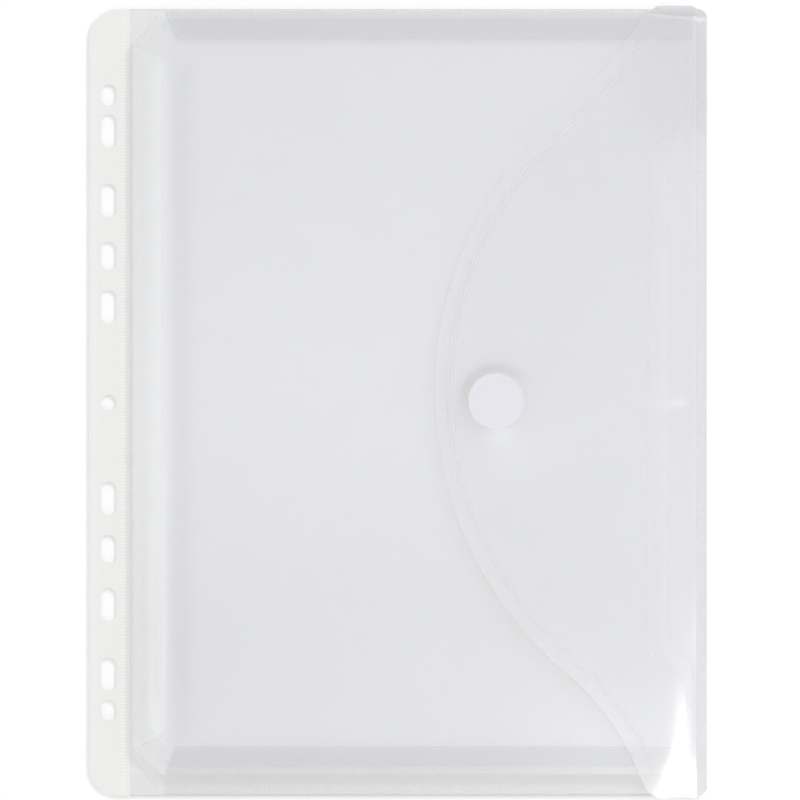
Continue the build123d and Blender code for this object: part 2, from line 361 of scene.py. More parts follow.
def tangent_arc(start, heading, end, count):
    """Circular arc from a start point along a heading to an end point. Its centre lies on the normal at
    the start, at the distance at which the end point is on the circle too."""
    start, end = np.array(start, float), np.array(end, float)
    normal = np.array([-heading[1], heading[0]]) / np.hypot(*heading)
    chord = end - start
    radius = chord @ chord / (2 * (normal @ chord))
    centre = start + normal * radius
    first, last = start - centre, end - centre
    sweep = math.atan2(first[0] * last[1] - first[1] * last[0], first @ last)
    turn = np.linspace(0, sweep, count)[:, None]
    points = centre + first * np.cos(turn) + np.array([-first[1], first[0]]) * np.sin(turn)
    return points, np.array([-last[1], last[0]]) * np.sign(sweep)


def flap_edge():
    """The flap's free edge from its lower ear to its upper ear: a wide arc, a reverse curve and a small
    ear curve at either end."""
    centre = np.array([FLAP_LOW[0] + FLAP_ARC, FLAP_SHIFT])
    upper, lower = math.radians(180 - FLAP_ARC_TOP), math.radians(180 + FLAP_ARC_BOTTOM)
    turn = np.linspace(lower, upper, ARC_POINTS)[:, None]
    main = centre + FLAP_ARC * np.concatenate([np.cos(turn), np.sin(turn)], axis=1)
    ends = []
    for angle, sign, (height, neck_x, neck, lead, _) in ((lower, -1, LOWER_EAR), (upper, 1, UPPER_EAR)):
        start = centre + FLAP_ARC * np.array([math.cos(angle), math.sin(angle)])
        heading = np.array([math.sin(angle), -math.cos(angle)]) * sign
        reverse, onward = tangent_arc(start, heading, (neck_x, height - sign * neck), REVERSE_POINTS)
        ear, _ = tangent_arc(reverse[-1], onward, (neck_x + lead, height), EAR_POINTS)
        ends.append(np.concatenate([reverse[1:], ear[1:]]))
    return np.concatenate([ends[0][::-1], main, ends[1]])


FLAP_EDGE = flap_edge()


def edge_at(y):
    """Place across of the flap's free edge."""
    return np.interp(y, FLAP_EDGE[:, 1], FLAP_EDGE[:, 0])


def root_level(y):
    """Height of the flap's middle beside the fold: level, and drooping as a square towards both ends."""
    level = FLAP_MID
    for (depth, start), outward in ((LOWER_DROOP, -y), (UPPER_DROOP, y)):
        level = level - depth * (np.clip(outward - start, 0, None) / (HALF_BODY - start)) ** 2
    return level


def corner_pinch(y):
    """How far the film is pulled down at the fold's lower end."""
    return PINCH * smooth(*PINCH_START, y)


def pinch_power(y):
    """Power of the pulled corner's curve, lower towards its end, where the pull reaches farther in."""
    return PINCH_POWER - PINCH_EASE * smooth(*PINCH_EASE_START, y)


def flap_height(x, y):
    """Height of the flap's middle: held up at the fold and over the dot, sagging between them and towards
    its free edge, with a short dent that runs in from the fold. The pulled-down corner falls towards the
    fold with a power of the way."""
    share = np.clip((FOLD_X - x) / np.maximum(FOLD_X - edge_at(y), SAG_WIDTH), 0, 1)
    from_dot = np.hypot(x - DOT[0], y - DOT[1])
    lit_side = (x - DOT[0] - (y - DOT[1])) / (math.sqrt(2) * np.maximum(from_dot, 1))
    held = smooth(DOT_RADIUS - SAG_INSIDE_DOT, SAG_REACH + SAG_LIT_REACH * lit_side, from_dot)
    sag = SAG * smooth(*SAG_SHARES, share) * held
    dent = bell(y, *DENT) * smooth(*DENT_X, x) * smooth(*DENT_SHARES, share)
    pinch = corner_pinch(y) * np.clip((x - FOLD_X) / PINCH_REACH + 1, 0, 1) ** pinch_power(y)
    near_root = smooth(*ROOT_SHARES, share)
    return root_level(y) * near_root + FLAP_MID * (1 - near_root) - sag - pinch - dent


def ear_shade(x):
    """Height at which the darker end of the upper ear starts: a line that falls towards the fold."""
    return EAR_SHADE - EAR_SHADE_FALL * (x - EAR_SHADE_X)


def flap_painted_shading(x, y):
    """Tone scale of the flap, painted light and shade: a painted shadow of the dot in a crescent round its
    upper side, darker towards the upper corner, a painted glow of the lamp's reflection below the dot and
    of the corner highlight towards the pulled corner, and whiter in a line under the ear."""
    across, along = x - DOT[0], y - DOT[1]
    from_dot = np.hypot(across, along)
    upward = (DOT_SHADOW_WAY[1] * along + DOT_SHADOW_WAY[0] * across) / np.maximum(from_dot, 1)
    past_rim = from_dot - DOT_RADIUS
    # Painted shadow of the dot, a crescent beyond its upper rim
    dot_shadow = bell(past_rim, *DOT_SHADOW) * smooth(*DOT_SHADOW_ROUND, upward)
    # Painted glow of the lamp's reflection below the dot
    from_glow = np.hypot(across - GLOW_PLACE[0], along - GLOW_PLACE[1])
    glow = bell(from_glow, *GLOW) * smooth(*GLOW_RIM, past_rim)
    # The lower corner's tone is a painted glow of the corner highlight
    corners = patch(*LOWER_PAINTED_GLOW, x, y) + patch(*UPPER_TONE, x, y)
    under_ear = bell(y - ear_shade(x), *UNDER_EAR) * smooth(*UNDER_EAR_X, x)
    return 1 + dot_shadow + glow + corners + under_ear


def flap_film():
    """Grid over the flap's outline: rows across it from the free edge to the fold, where each ear ends in
    an arc."""
    low, high = LOWER_EAR[0], UPPER_EAR[0]
    y = places(
        (low, high, FLAP_ROWS),
        (high - EAR_SPAN, high, UPPER_EAR_ROWS),
        (low, low + EAR_SPAN, LOWER_EAR_ROWS),
        (low + EDGE_LINE, low + EDGE_LINE, 1),
        (DOT[1] - DOT_SPAN, DOT[1] + DOT_SPAN, DOT_ROWS),
    )[:, None]
    left = edge_at(y)
    right = np.full_like(y, FOLD_X - 2 * HAIR)
    for height, _, _, _, tail in (LOWER_EAR, UPPER_EAR):
        drop = abs(height) - HALF_BODY
        radius = (tail**2 + drop**2) / (2 * drop)
        past = y * np.sign(height)
        beyond = np.clip(past - (abs(height) - radius), 0, radius)
        right = np.where(past > HALF_BODY, FOLD_X - tail + np.sqrt(radius**2 - beyond**2), right)
    share = np.minimum((right - left) / STEPS_WIDTH, 1)
    inner = left + FLAP_STEPS[-1] * share
    between = np.linspace(0, 1, FLAP_COLUMNS)[1:]
    x = np.concatenate([left + FLAP_STEPS * share, inner + between * (right - inner)], axis=1)
    dark = (y > ear_shade(x)) | (y < low + EDGE_LINE / 2)
    return film_piece("flap_film", x, y, flap_height(x, y), flap_painted_shading(x, y), dark, (LAST_COLUMN,))


def fold_film():
    """Half a flattened tube: at each place along the fold, half an ellipse from the back panel's edge
    round to the flap's root, leaning so that it goes on with the flap's slope. Its ends are cut back
    towards the outside, by what a quarter circle leaves, to round the corners."""
    share = places((-1, 1, FOLD_ROWS), (1 - FOLD_END, 1, FOLD_END_ROWS), (-1, FOLD_END - 1, FOLD_END_ROWS))
    turn = np.linspace(0, math.pi, FOLD_COLUMNS)
    reach = FOLD_OUTSIDE - FOLD_X - FILM / 2
    outward = reach * np.sin(turn)
    into = np.clip(outward - (reach - FOLD_CORNER), 0, FOLD_CORNER)
    x = FOLD_X + outward
    y = share[:, None] * (HALF_BODY - FOLD_CORNER + np.sqrt(FOLD_CORNER**2 - into**2))
    risen = (1 - np.cos(turn)) / 2
    pinch = corner_pinch(y)
    slope = pinch * pinch_power(y) / PINCH_REACH
    z = BACK_MID + (root_level(y) - pinch - BACK_MID - slope * outward) * risen
    dark = (turn > math.pi / 2) & (y > ear_shade(x))
    return film_piece("fold_film", x, y, z, flap_painted_shading(FOLD_X, y), dark, (LAST_COLUMN, FIRST_COLUMN))


# Rear film

# Grid: columns and rows, rows a millimetre apart below the pocket, half width of a step in tone, and the
# slit at the mouth
BACK_COLUMNS, BACK_ROWS, BELOW_ROWS, TONE_STEP, MOUTH_SLIT = 40, 50, 5, 0.4, (-1.5, 0.1)

# Tone: how much duller the film is below the pocket and more so past the cut corner, with painted shade
# that grows towards its edge as the pocket's cast shadow fades, where that starts; and how much painted
# light whitens the shaded slits beside the strip and at the mouth, with the place of the strip's
BELOW_TONE, BESIDE_TONE, FAR_PAINTED_SHADE, FAR_START = 0.03, 0.02, 0.12, (0, 4.5)
SLIT_PAINTED_LIGHT, STRIP_SLIT, STRIP_SLIT_TOP = 0.03, (-102, -104), 139


def back_film():
    """Flat rear film on a grid that is close at the weld below the pocket, where the film is duller, with
    painted shade farther out and painted light in the shaded slits.
    """
    corner, bottom, mouth = FRONT_LOW[0] + CORNER_RUN, FRONT_LOW[1], FRONT_HIGH[0]
    x = places(
        (BACK_LOW[0], FOLD_X, BACK_COLUMNS),
        (corner - TONE_STEP, corner + TONE_STEP, 2),
        (mouth + MOUTH_SLIT[0], mouth + MOUTH_SLIT[1], 2),
    )
    y = places(
        (EDGE_LINE - HALF_BODY, HALF_BODY - EDGE_LINE, BACK_ROWS),
        (-HALF_BODY, HALF_BODY, 2),
        (bottom - TONE_STEP, bottom + TONE_STEP, 2),
        (bottom - BELOW_ROWS, bottom - 1, BELOW_ROWS),
    )[:, None]
    below = smooth(bottom + TONE_STEP, bottom - TONE_STEP, y)
    beside = smooth(corner - TONE_STEP, corner + TONE_STEP, x)
    # Painted light in the shaded slits beside the strip and at the mouth
    slits = smooth(*STRIP_SLIT, x) * (y < STRIP_SLIT_TOP) + smooth(*MOUTH_SLIT, x - mouth)
    # Duller below the pocket, with painted shade farther out past the cut corner
    dull = BELOW_TONE + (BESIDE_TONE + FAR_PAINTED_SHADE * smooth(*FAR_START, bottom - y)) * beside
    haze = 1 - dull * below + SLIT_PAINTED_LIGHT * slits * (1 - below)
    dark = np.abs(y + EDGE_LINE / 2) > HALF_BODY - EDGE_LINE
    return film_piece("back_film", x, y, BACK_MID, haze, dark, (LAST_COLUMN,))


# Finishes

# Detail of the two noises and depth of the grain in metres
BROAD_DETAIL, FINE_DETAIL, GRAIN_DEPTH = 3, 2, 0.0001

# Film: drift of its tone, scale and strength of its grain, roughness of its coat, share of light that
# bare plastic mirrors, and the most that a face may mirror where the film covers little
TONE_DRIFT, FILM_GRAIN, FILM_BUMP, COAT_ROUGHNESS = 0.008, 350, 0.015, 0.15
FILM_MIRROR, MOST_MIRROR = 0.045, 0.3

# Darker end of a finish's drift as a share of its tone, and both ends for the weld marks on the strip
STRIP_DARK, GLUE_DARK, TAPE_DARK, PILE_DARK = 0.985, 0.97, 0.96, 0.92
MARK_DARK, MARK_PALE = 1.02, 1.05


def set_inputs(node, values):
    """Sets the inputs of a node by their names."""
    for name, value in values.items():
        node.inputs[name].default_value = value


def grain_group():
    """Fine grain: two noises on object coordinates, a broad one that mixes two tones and a fine one that
    gives the surface height and shifts the roughness."""
    group = bpy.data.node_groups.new("surface_grain", "ShaderNodeTree")
    for direction, kind, names in (
        ("INPUT", "Color", ("Tone A", "Tone B")),
        ("INPUT", "Float", ("Broad", "Fine", "Rough Low", "Rough High")),
        ("OUTPUT", "Color", ("Color",)),
        ("OUTPUT", "Float", ("Roughness", "Height")),
    ):
        for name in names:
            group.interface.new_socket(name, in_out=direction, socket_type=f"NodeSocket{kind}")
    nodes, link = group.nodes, group.links.new
    enter, leave = nodes.new("NodeGroupInput"), nodes.new("NodeGroupOutput")
    place = nodes.new("ShaderNodeTexCoord")
    broad, fine = nodes.new("ShaderNodeTexNoise"), nodes.new("ShaderNodeTexNoise")
    mix = nodes.new("ShaderNodeMix")
    mix.data_type = "RGBA"
    rough = nodes.new("ShaderNodeMapRange")
    for noise, scale, detail in ((broad, "Broad", BROAD_DETAIL), (fine, "Fine", FINE_DETAIL)):
        set_inputs(noise, {"Detail": detail})
        link(place.outputs["Object"], noise.inputs["Vector"])
        link(enter.outputs[scale], noise.inputs["Scale"])
    link(broad.outputs["Fac"], mix.inputs["Factor"])
    link(enter.outputs["Tone A"], mix.inputs["A"])
    link(enter.outputs["Tone B"], mix.inputs["B"])
    link(fine.outputs["Fac"], rough.inputs["Value"])
    link(enter.outputs["Rough Low"], rough.inputs["To Min"])
    link(enter.outputs["Rough High"], rough.inputs["To Max"])
    link(mix.outputs["Result"], leave.inputs["Color"])
    link(rough.outputs["Result"], leave.inputs["Roughness"])
    link(fine.outputs["Fac"], leave.inputs["Height"])
    return group


def finish_material(name, tone_a, tone_b, alpha=1.0, broad=40.0, fine=2500.0, rough=(0.3, 0.42), bump=0.05):
    """A finish built on the grain: its tones, how much it covers, and its roughness and grain depth."""
    material = bpy.data.materials.new(name)
    material.use_nodes = True
    nodes, link = material.node_tree.nodes, material.node_tree.links.new
    shader = nodes["Principled BSDF"]
    grain = nodes.new("ShaderNodeGroup")
    grain.node_tree = bpy.data.node_groups.get("surface_grain") or grain_group()
    set_inputs(grain, {
        "Tone A": (*tone_a, 1), "Tone B": (*tone_b, 1), "Broad": broad, "Fine": fine,
        "Rough Low": rough[0], "Rough High": rough[1],
    })
    relief = nodes.new("ShaderNodeBump")
    set_inputs(relief, {"Strength": bump, "Distance": GRAIN_DEPTH})
    set_inputs(shader, {"Alpha": alpha})
    link(grain.outputs["Color"], shader.inputs["Base Color"])
    link(grain.outputs["Roughness"], shader.inputs["Roughness"])
    link(grain.outputs["Height"], relief.inputs["Height"])
    link(relief.outputs["Normal"], shader.inputs["Normal"])
    return material


def film_material(name, tone, cover, coat=1.0, with_painted_shading=False):
    """Clear film: a tone that drifts a little to either side under a gloss coat, scaled where it has one by
    the film's stored tone scale of painted light and shade. Coverage thins the coat's mirror too, so the
    coat's index is raised until a face mirrors as much as bare plastic does."""
    tone = np.array(tone)
    material = finish_material(
        name, tone * (1 - TONE_DRIFT), np.minimum(tone * (1 + TONE_DRIFT), 1), cover,
        fine=FILM_GRAIN, bump=FILM_BUMP)
    nodes, link = material.node_tree.nodes, material.node_tree.links.new
    shader = nodes["Principled BSDF"]
    if with_painted_shading:
        # The stored tone scale is painted light and shade; it multiplies the base colour
        haze, scaled = nodes.new("ShaderNodeAttribute"), nodes.new("ShaderNodeVectorMath")
        haze.attribute_name = PAINTED_SHADING
        scaled.operation = "SCALE"
        link(shader.inputs["Base Color"].links[0].from_socket, scaled.inputs[0])
        link(haze.outputs["Fac"], scaled.inputs["Scale"])
        link(scaled.outputs[0], shader.inputs["Base Color"])
    mirror = math.sqrt(min(FILM_MIRROR / cover, MOST_MIRROR))
    set_inputs(shader, {
        "Specular IOR Level": 0.0, "Coat Weight": coat, "Coat Roughness": COAT_ROUGHNESS,
        "Coat IOR": (1 + mirror) / (1 - mirror),
    })
    return material


def dress(piece, slot, *materials):
    """Gives a piece its materials, film first, then cut edge, then clear wall. The record's slot that it is
    passed is not used.
    """
    indices = np.zeros(len(piece.data.polygons), np.int32)
    piece.data.polygons.foreach_get("material_index", indices)
    piece.data.materials.clear()
    for material in materials:
        piece.data.materials.append(material)
    piece.data.polygons.foreach_set("material_index", np.minimum(indices, len(materials) - 1))


def dress_film(piece, tone, cover, looks):
    """Gives a film its own finish, the cut edge's, which shows as a thin darker line, and the clear one of
    the walls inside joined film."""
    edge = bpy.data.materials.get("cut_edge_finish") or film_material(
        "cut_edge_finish", looks.edge_tone, looks.edge_cover)
    seam = bpy.data.materials.get("joined_film_finish") or finish_material(
        "joined_film_finish", looks.film_tone, looks.film_tone, 0.0)
    dress(piece, "film", film_material(f"{piece.name}_finish", tone, cover, with_painted_shading=True), edge, seam)


def tone_setting(name, what, default):
    """A colour that a user may change."""
    return FloatVectorProperty(
        name=f"{name} tone", description=f"Colour of {what}",
        subtype="COLOR", size=3, min=0, max=1, default=default)


def cover_setting(name, what, default):
    """A share of light that a user may change."""
    return FloatProperty(
        name=f"{name} coverage", description=f"Share of light that stops at one face of {what}",
        subtype="FACTOR", min=0, max=1, default=default)


def length_setting(name, description, default):
    """A length that a user may change, with its default in millimetres."""
    return FloatProperty(name=name, description=description, unit="LENGTH", default=default * MM)


class WalletLooks(bpy.types.PropertyGroup):
    """Tones and coverage of the wallet's finishes."""

    film_tone: tone_setting("Film", "the clear film's haze", (0.785, 0.787, 0.805))
    back_tone: tone_setting("Back", "the rear film's haze", (0.79, 0.792, 0.8))
    flap_tone: tone_setting("Flap", "the flap's haze", (0.795, 0.797, 0.815))
    fold_tone: tone_setting("Fold", "the fold's haze", (0.735, 0.74, 0.76))
    # Top and bottom gusset tone: a darker copy of the same film as along the strip, painted shade
    gusset_shade_tone: tone_setting("Gusset", "the gusset's haze at top and bottom", (0.635, 0.64, 0.655))
    crease_tone: tone_setting("Crease", "the gusset's haze along the strip", (0.88, 0.885, 0.88))
    weld_tone: tone_setting("Weld", "the front flange's haze", (0.74, 0.75, 0.745))
    edge_tone: tone_setting("Cut edge", "the film's cut edges", (0.62, 0.63, 0.65))
    strip_tone: tone_setting("Strip", "the white strip", (0.795, 0.793, 0.785))
    tape_tone: tone_setting("Tape", "the hook and loop tape", (0.765, 0.755, 0.82))
    back_cover: cover_setting("Back", "the rear film", 0.88)
    front_cover: cover_setting("Front", "the front film", 0.24)
    flap_cover: cover_setting("Flap", "the flap", 0.22)
    fold_cover: cover_setting("Fold", "the fold", 0.3)
    gusset_cover: cover_setting("Gusset", "the gusset at top and bottom", 0.22)
    corner_cover: cover_setting("Corner", "the gusset at the cut corners", 0.05)
    crease_cover: cover_setting("Crease", "the gusset along the strip", 0.12)
    edge_cover: cover_setting("Cut edge", "a cut edge", 0.5)


class WalletSizes(bpy.types.PropertyGroup):
    """Sizes and counts of the fine details."""

    line_width: length_setting("Pressed line width", "Width of each pressed line", 0.9)
    line_height: length_setting("Pressed line height", "Height of each pressed line", 0.07)
    weld_pitch: length_setting("Weld pitch", "Step between weld marks on the strip", 1.3)
    edge_pitch: length_setting("Edge weld pitch", "Step between weld marks on the film", 1.0)
    hooks: IntProperty(name="Hooks", description="Hooks on the hook dot", min=50, max=900, default=420)
    loops: IntProperty(name="Loops", description="Loops on the loop dot", min=50, max=900, default=520)


# Flat solids and films


class WALLET_OT_solid_films(bpy.types.Operator):
    """Give the flat solids that stay in view their finishes: gusset, strip and adhesive"""

    bl_idname = "wallet.solid_films"
    bl_label = "Finish the flat solids"

    def execute(self, context):
        looks = context.scene.wallet_looks
        # The top and bottom leaves take the darker copy of the gusset film, painted shade
        gusset = film_material("gusset_shaded_film_finish", looks.gusset_shade_tone, looks.gusset_cover, coat=0.0)
        crease = film_material("crease_film_finish", looks.crease_tone, looks.crease_cover, coat=0.0)
        corner = film_material("corner_film_finish", looks.crease_tone, looks.corner_cover, coat=0.0)
        foot = film_material("rear_flange_finish", looks.crease_tone, looks.gusset_cover)
        rim = film_material("front_flange_finish", looks.weld_tone, looks.crease_cover)
        white, tape = np.array(looks.strip_tone), np.array(looks.tape_tone)
        strip = finish_material(
            "white_strip_finish", white * STRIP_DARK, white, broad=30, fine=1200, rough=(0.45, 0.6))
        glue = finish_material("adhesive_finish", tape * GLUE_DARK, tape, rough=(0.5, 0.7), broad=300)
        for name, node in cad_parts.items():
            if name.endswith("_leaf"):
                dress(node, "film", corner if "corner" in name else crease if "left" in name else gusset)
            elif name.endswith("_flange"):
                dress(node, "film", foot if "rear" in name else rim)
            elif name.endswith("_adhesive"):
                dress(node, "adhesive", glue)
        dress(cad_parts["binding_strip"], "white_film", strip)
        return {"FINISHED"}


class WALLET_OT_pocket_films(bpy.types.Operator):
    """Lay the rear film and the domed front film of the pocket"""

    bl_idname = "wallet.pocket_films"
    bl_label = "Rear and front film"

    def execute(self, context):
        looks = context.scene.wallet_looks
        back, front = back_film(), front_film()
        dress_film(back, looks.back_tone, looks.back_cover, looks)
        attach(back, "back")
        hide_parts("back_panel")
        dress_film(front, looks.film_tone, looks.front_cover, looks)
        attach(front, "front")
        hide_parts("front_panel")
        return {"FINISHED"}


class WALLET_OT_flap_film(bpy.types.Operator):
    """Lay the sagging flap over the mouth and bend the fold round to it"""

    bl_idname = "wallet.flap_film"
    bl_label = "Flap and fold"

    def execute(self, context):
        looks = context.scene.wallet_looks
        flap, fold = flap_film(), fold_film()
        dress_film(flap, looks.flap_tone, looks.flap_cover, looks)
        dress_film(fold, looks.fold_tone, looks.fold_cover, looks)
        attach(flap, "flap")
        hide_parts("flap_panel")
        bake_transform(fold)
        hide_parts("flap_fold")
        return {"FINISHED"}


# Pressed lines and weld marks

# Distances of the flap's lines from its edge, how far short of the ears they stop, sides of a line, and
# points along the one beside the mouth
FLAP_LINE_INSETS, LINE_STOP, LINE_SIDES, LINE_POINTS = (5.0, 6.3), 9, 8, 260

# Rows on the strip: ends of the marks across, and reach of the row to either side; length of a mark, how
# much smaller its top is, its height, and how deep it is set into what it lies on
STRIP_ROWS = ((-119.4, -117.6, 140.5), (-108.5, -106.1, 152.6))
MARK_LENGTH, MARK_TAPER, MARK_HEIGHT, MARK_SET = 0.7, (0.2, 0.25), 0.05, 0.01

# Row on the film: its ends and place, base and top of a mark and its height
EDGE_ROW, EDGE_ROW_Y = (-92, 112), -150.9
EDGE_MARK, EDGE_MARK_TOP, EDGE_MARK_HEIGHT = (0.6, 2.6), (0.4, 2.2), 0.03


class WALLET_OT_pressed_lines(bpy.types.Operator):
    """Press the border lines into the flap and beside the mouth"""

    bl_idname = "wallet.pressed_lines"
    bl_label = "Pressed lines"

    def execute(self, context):
        sizes, looks = context.scene.wallet_sizes, context.scene.wallet_looks
        finish = film_material("pressed_line_finish", looks.flap_tone, looks.flap_cover)
        wide, high = sizes.line_width / MM / 2, sizes.line_height / MM
        forward = np.gradient(FLAP_EDGE, axis=0)
        forward /= np.linalg.norm(forward, axis=1, keepdims=True)
        inward = np.stack([forward[:, 1], -forward[:, 0]], axis=1)
        lines = []
        for name, inset in zip(("outer", "inner"), FLAP_LINE_INSETS):
            path = FLAP_EDGE + inward * inset
            path = path[np.abs(path[:, 1]) < EAR_Y - LINE_STOP]
            lines.append((f"flap_{name}_line", path, flap_height, "flap"))
        turns = np.array(MOUTH_LINE)
        run = np.concatenate([[0], np.cumsum(np.linalg.norm(np.diff(turns, axis=0), axis=1))])
        place = np.linspace(0, run[-1], LINE_POINTS)
        path = np.stack([np.interp(place, run, coordinates) for coordinates in turns.T], axis=1)
        lines.append(("mouth_line", path, front_height, "front"))
        for name, path, height, body in lines:
            z = height(path[:, 0], path[:, 1]) + FILM / 2
            points, faces = tubes(np.column_stack([path, z])[None], wide, high, LINE_SIDES)
            line = make_piece(name, points, faces)
            dress(line, "film", finish)
            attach(line, body)
        return {"FINISHED"}


def lay_marks(name, slot, finish, centres, *sizes):
    """Low ridges as one piece that goes with the back panel."""
    points, faces = bars(centres, *sizes)
    marks = make_piece(name, points, faces, range(len(faces)))
    dress(marks, slot, finish)
    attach(marks, "back")


class WALLET_OT_weld_marks(bpy.types.Operator):
    """Set the rows of weld marks on the strip and along the film's lower edge"""

    bl_idname = "wallet.weld_marks"
    bl_label = "Weld marks"

    def execute(self, context):
        sizes, looks = context.scene.wallet_sizes, context.scene.wallet_looks
        tone = np.array(looks.strip_tone)
        white = finish_material(
            "strip_weld_finish", tone * MARK_DARK, np.minimum(tone * MARK_PALE, 1),
            broad=200, fine=1200, rough=(0.4, 0.5))
        rows, feet = [], []
        for left, right, reach in STRIP_ROWS:
            y = np.arange(-reach, reach, sizes.weld_pitch / MM)
            x, z = np.full_like(y, (left + right) / 2), np.full_like(y, STRIP_TOP - MARK_SET)
            rows.append(np.stack([x, y, z], axis=1))
            feet.append(np.full((len(y), 2), (right - left, MARK_LENGTH)))
        feet = np.concatenate(feet)
        centres = np.concatenate(rows)
        lay_marks("strip_weld_marks", "white_film", white, centres, feet, feet - MARK_TAPER, MARK_HEIGHT)
        film = film_material("edge_weld_finish", looks.film_tone, looks.crease_cover)
        x = np.arange(*EDGE_ROW, sizes.edge_pitch / MM)
        y, z = np.full_like(x, EDGE_ROW_Y), np.full_like(x, 2 * FILM - MARK_SET)
        centres = np.stack([x, y, z], axis=1)
        lay_marks("bottom_edge_weld_marks", "film", film, centres, EDGE_MARK, EDGE_MARK_TOP, EDGE_MARK_HEIGHT)
        return {"FINISHED"}


# Hook and loop dots

# Tape: thickness of its backing, width and height of its rounded rim and sides of its disc
BACKING, RIM_WIDTH, RIM_HEIGHT, TAPE_SIDES = 0.45, 0.15, 0.12, 72

# Threads: sides, and a direction that no thread runs along
THREAD_SIDES, THREAD_UP = 4, (0.31, 0.2, 0.93)

# Loops: half width, points, radius of the thread, distance from the rim, space above and depth of the root
LOOP_SPAN, LOOP_POINTS, LOOP_THREAD, LOOP_INSET, LOOP_CLEAR, LOOP_ROOT = 0.38, 7, 0.05, 0.6, 0.06, 0.03

# Hooks: radius of the thread, distance from the rim, and steps outwards in millimetres and down as shares
HOOK_THREAD, HOOK_INSET = 0.06, 0.8
HOOK_OUT = np.array([0, 0, 0.02, 0.12, 0.26, 0.34])
HOOK_DOWN = np.array([-0.05, 0.45, 0.78, 0.93, 0.9, 0.74])


def spread_in_disc(count, radius):
    """Even spread over a disc: points on a spiral whose turn is the golden angle and whose radius grows
    with the square root of the point's number. Returns their places and turns as columns."""
    number = (np.arange(count) + 0.5)[:, None]
    turn = number * math.pi * (3 - math.sqrt(5))
    reach = radius * np.sqrt(number / count)
    return reach * np.cos(turn), reach * np.sin(turn), turn


def tape_disc(name, low, high):
    """Tape backing: a disc with a rounded rim, as a profile of radius and height carried round the centre."""
    inner = DOT_RADIUS - RIM_WIDTH
    reach = np.array([inner, DOT_RADIUS, DOT_RADIUS, inner])[:, None]
    level = np.array([low, low + RIM_HEIGHT, high - RIM_HEIGHT, high])[:, None]
    turn = np.linspace(0, 2 * math.pi, TAPE_SIDES, endpoint=False)[None]
    x, y = DOT[0] + reach * np.cos(turn), DOT[1] + reach * np.sin(turn)
    ring = np.stack([x, y, np.broadcast_to(level, x.shape)], axis=2)
    number = np.arange(x.size).reshape(x.shape)
    turned = np.roll(number, -1, axis=1)
    walls = np.stack([number[:-1], turned[:-1], turned[1:], number[1:]], axis=-1).reshape(-1, 4)
    faces = walls.tolist() + [number[0, ::-1].tolist(), number[-1].tolist()]
    return make_piece(name, ring.reshape(-1, 3), faces, (len(faces) - 2, len(faces) - 1))


def threads(name, across, along, turn, out, level, radius):
    """Threads on a tape: at each place the same curve, as steps outwards along its turn and as levels."""
    x, y = DOT[0] + across + out * np.cos(turn), DOT[1] + along + out * np.sin(turn)
    paths = np.stack([x, y, np.broadcast_to(level, x.shape)], axis=2)
    points, faces = tubes(paths, radius, radius, THREAD_SIDES, THREAD_UP)
    return make_piece(name, points, faces)


class WALLET_OT_dots(bpy.types.Operator):
    """Make the hook dot under the flap and the loop dot on the front film"""

    bl_idname = "wallet.dots"
    bl_label = "Hook and loop dots"

    def execute(self, context):
        sizes, tone = context.scene.wallet_sizes, np.array(context.scene.wallet_looks.tape_tone)
        tape = finish_material(
            "tape_finish", tone * TAPE_DARK, tone, broad=900, fine=4000, rough=(0.6, 0.8), bump=0.2)
        pile = finish_material("pile_finish", tone * PILE_DARK, tone, broad=1500, fine=5000, rough=(0.6, 0.8))
        loop_base, hook_base = LOOP_LOW[2] + BACKING, HOOK_HIGH[2] - BACKING
        loop_disc = tape_disc("loop_tape", LOOP_LOW[2], loop_base)
        hook_disc = tape_disc("hook_tape", hook_base, HOOK_HIGH[2])
        arc = np.linspace(0, math.pi, LOOP_POINTS)
        rise = LOOP_HIGH[2] - loop_base - LOOP_CLEAR
        loop_pile = threads(
            "loop_pile", *spread_in_disc(sizes.loops, DOT_RADIUS - LOOP_INSET),
            LOOP_SPAN * np.cos(arc), loop_base - LOOP_ROOT + rise * np.sin(arc), LOOP_THREAD)
        hook_field = threads(
            "hook_field", *spread_in_disc(sizes.hooks, DOT_RADIUS - HOOK_INSET),
            HOOK_OUT, hook_base - HOOK_DOWN * (hook_base - HOOK_LOW[2]), HOOK_THREAD)
        for piece, finish, slot, body, node in (
            (loop_disc, tape, "loop_tape", "front", "loop_dot"),
            (loop_pile, pile, "loop_tape", "front", None),
            (hook_disc, tape, "hook_tape", "flap", "hook_dot"),
            (hook_field, pile, "hook_tape", "flap", None),
        ):
            dress(piece, slot, finish)
            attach(piece, body)
            if node:
                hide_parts(node)
        return {"FINISHED"}


# Stage, in metres

# Floor: half its width, its level, tone, roughness and the glow that keeps it white to the eye
FLOOR_HALF, FLOOR_LEVEL = 3.0, -0.0014
FLOOR_TONE, FLOOR_ROUGHNESS, FLOOR_GLOW = (0.8, 0.8, 0.8, 1), 0.9, 0.18

# Sky: its strength where it isn't looked at, and its colour
SKY_DIM, WHITE = 0.64, (1, 1, 1, 1)

# Lamps: place, size, power and colour
LOWER_LAMP = ((0.42, -0.62, 2.25), (0.25, 0.5), 14.0, (1, 1, 0.98))
UPPER_LAMP = ((0.95, 1.1, 1.9), (0.5, 0.5), 14.0, (0.96, 0.97, 1))

# Camera: lens in millimetres, place, width of what it sees, how far it sees and through how many clear faces
LENS, EYE_X, EYE_Y, SEEN_WIDTH, FARTHEST = 500, 0.0008, 0.0010, 0.3122, 20
CLEAR_LAYERS = 64


